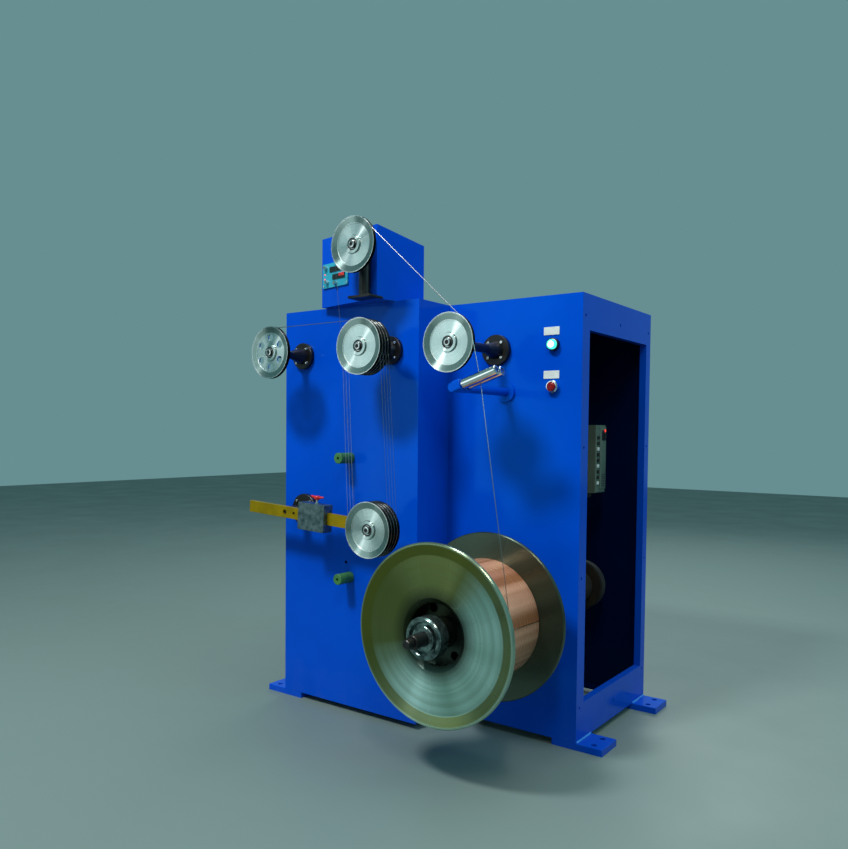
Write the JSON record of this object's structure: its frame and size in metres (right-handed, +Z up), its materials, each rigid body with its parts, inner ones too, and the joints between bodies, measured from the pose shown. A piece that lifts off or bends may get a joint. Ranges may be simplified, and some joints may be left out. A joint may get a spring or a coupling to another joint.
{
  "type": "motorised wire pay-off stand of a cable extrusion line",
  "caption": "Blue sheet-metal pay-off stand with a driven copper wire reel, grooved guide sheaves, a weighted dancer arm, a control box and an open cabinet side.",
  "frame": {"origin": "on the floor, under the middle of the bounding box", "axes": "+Z up, -Y out of the front with the reel and sheaves, +X towards the open cabinet side"},
  "size_m": [0.953, 0.888, 1.25],
  "materials": {
    "blue_paint": "satin blue paint",
    "black_paint": "black oxide",
    "sheave_metal": "turned",
    "reel_metal": "spun steel, worn",
    "copper": "bright bare copper wire",
    "chrome": "polished",
    "steel": "ground",
    "yellow_paint": "yellow passivated",
    "green_rubber": "matt",
    "red_plastic": "gloss",
    "green_lens": "lit lens",
    "white_plate": "bare plate",
    "teal_plate": "satin",
    "display": "dark window",
    "grey_plastic": "satin",
    "cast": "as cast",
    "belt_rubber": "matt"
  },
  "bodies": {
    "stand": {"base_frame": "blue_paint", "bearing_housing": "cast", "bearing_plate": "steel", "box_plate": "black_paint", "button_bezels": "chrome", "cabinet_front_panel": "blue_paint", "control_box": "blue_paint", "control_knobs": "white_plate", "control_plate": "teal_plate", "displays": "display", "drive_belt": "belt_rubber", "drive_motor": "grey_plastic", "foot_plates": "blue_paint", "inverter": "grey_plastic", "inverter_plate": "steel", "label_plates": "white_plate", "left_axle": "black_paint", "left_side_panel": "blue_paint", "middle_axle": "black_paint", "motor_rails": "steel", "open_side_frame": "blue_paint", "pivot_flange": "black_paint", "rear_panel": "blue_paint", "right_axle": "blue_paint", "roller_bracket": "blue_paint", "stop_pins": "green_rubber", "top_panel": "blue_paint", "top_post": "black_paint", "tower_front_panel": "blue_paint", "tower_side_panel": "blue_paint", "wire_falls": "copper", "wire_top_fall": "copper", "wire_upper": "copper"},
    "left_sheave_body": {"left_sheave": "sheave_metal"},
    "middle_sheaves_body": {"middle_sheaves": "sheave_metal"},
    "right_sheave_body": {"right_sheave": "sheave_metal"},
    "top_sheave_body": {"top_sheave": "sheave_metal"},
    "dancer_body": {"dancer_arm": "yellow_paint", "wire_dancer_bends": "copper"},
    "dancer_sheaves_body": {"dancer_sheaves": "sheave_metal"},
    "counterweight_body": {"counterweight": "steel", "clamp_knob": "red_plastic"},
    "guide_roller_front_body": {"guide_roller_front": "chrome"},
    "guide_roller_rear_body": {"guide_roller_rear": "chrome"},
    "green_button_body": {"green_button": "green_lens"},
    "red_button_body": {"red_button": "red_plastic"},
    "reel_body": {"spindle": "black_paint", "reel": "reel_metal", "copper_winding": "copper", "lock_nut": "steel", "driven_pulley": "cast"},
    "motor_pulley_body": {"motor_pulley": "cast"}
  },
  "joints": [
    {"name": "left_sheave_spin", "type": "hinge", "parent": "stand", "child": "left_sheave_body", "pos_m": [-0.3403, -0.24175, 0.938], "axis": [0, 1, 0], "continuous": true},
    {"name": "middle_sheaves_spin", "type": "hinge", "parent": "stand", "child": "middle_sheaves_body", "pos_m": [-0.04, -0.226, 0.938], "axis": [0, 1, 0], "continuous": true},
    {"name": "right_sheave_spin", "type": "hinge", "parent": "stand", "child": "right_sheave_body", "pos_m": [0.1865, -0.19915, 0.938], "axis": [0, 1, 0], "continuous": true},
    {"name": "top_sheave_spin", "type": "hinge", "parent": "stand", "child": "top_sheave_body", "pos_m": [-0.073, -0.22675, 1.183], "axis": [0, 1, 0], "continuous": true},
    {"name": "dancer_swing", "type": "hinge", "parent": "stand", "child": "dancer_body", "pos_m": [-0.3315, -0.193, 0.523], "axis": [0, -1, 0], "range_deg": [-36, 38], "deforming": ["wire_falls", "wire_top_fall"]},
    {"name": "dancer_sheaves_spin", "type": "hinge", "parent": "dancer_body", "child": "dancer_sheaves_body", "pos_m": [-0.0085, -0.226, 0.50494], "axis": [0, 1, 0], "continuous": true},
    {"name": "counterweight_slide", "type": "slide", "parent": "dancer_body", "child": "counterweight_body", "axis": [0.9984, 0, -0.0558], "range_m": [-0.03, 0.02]},
    {"name": "guide_roller_front_spin", "type": "hinge", "parent": "stand", "child": "guide_roller_front_body", "pos_m": [0.235, -0.21165, 0.843], "axis": [0.9489, 0, 0.3156], "continuous": true},
    {"name": "guide_roller_rear_spin", "type": "hinge", "parent": "stand", "child": "guide_roller_rear_body", "pos_m": [0.235, -0.18665, 0.843], "axis": [0.9489, 0, 0.3156], "continuous": true},
    {"name": "green_button_press", "type": "slide", "parent": "stand", "child": "green_button_body", "axis": [0, 1, 0], "range_m": [0, 0.003], "stiffness_N_per_m": 800, "springref_m": -0.001},
    {"name": "red_button_press", "type": "slide", "parent": "stand", "child": "red_button_body", "axis": [0, 1, 0], "range_m": [0, 0.003], "stiffness_N_per_m": 800, "springref_m": -0.001},
    {"name": "reel_spin", "type": "hinge", "parent": "stand", "child": "reel_body", "pos_m": [0.2595, 0.013, 0.32], "axis": [0, 1, 0], "continuous": true},
    {"name": "motor_spin", "type": "hinge", "parent": "stand", "child": "motor_pulley_body", "pos_m": [0.06, 0.358, 0.15], "axis": [0, 1, 0], "continuous": true}
  ],
  "couplings": [
    {"joint": "motor_spin", "follows": "reel_spin", "ratio": 2}
  ]
}
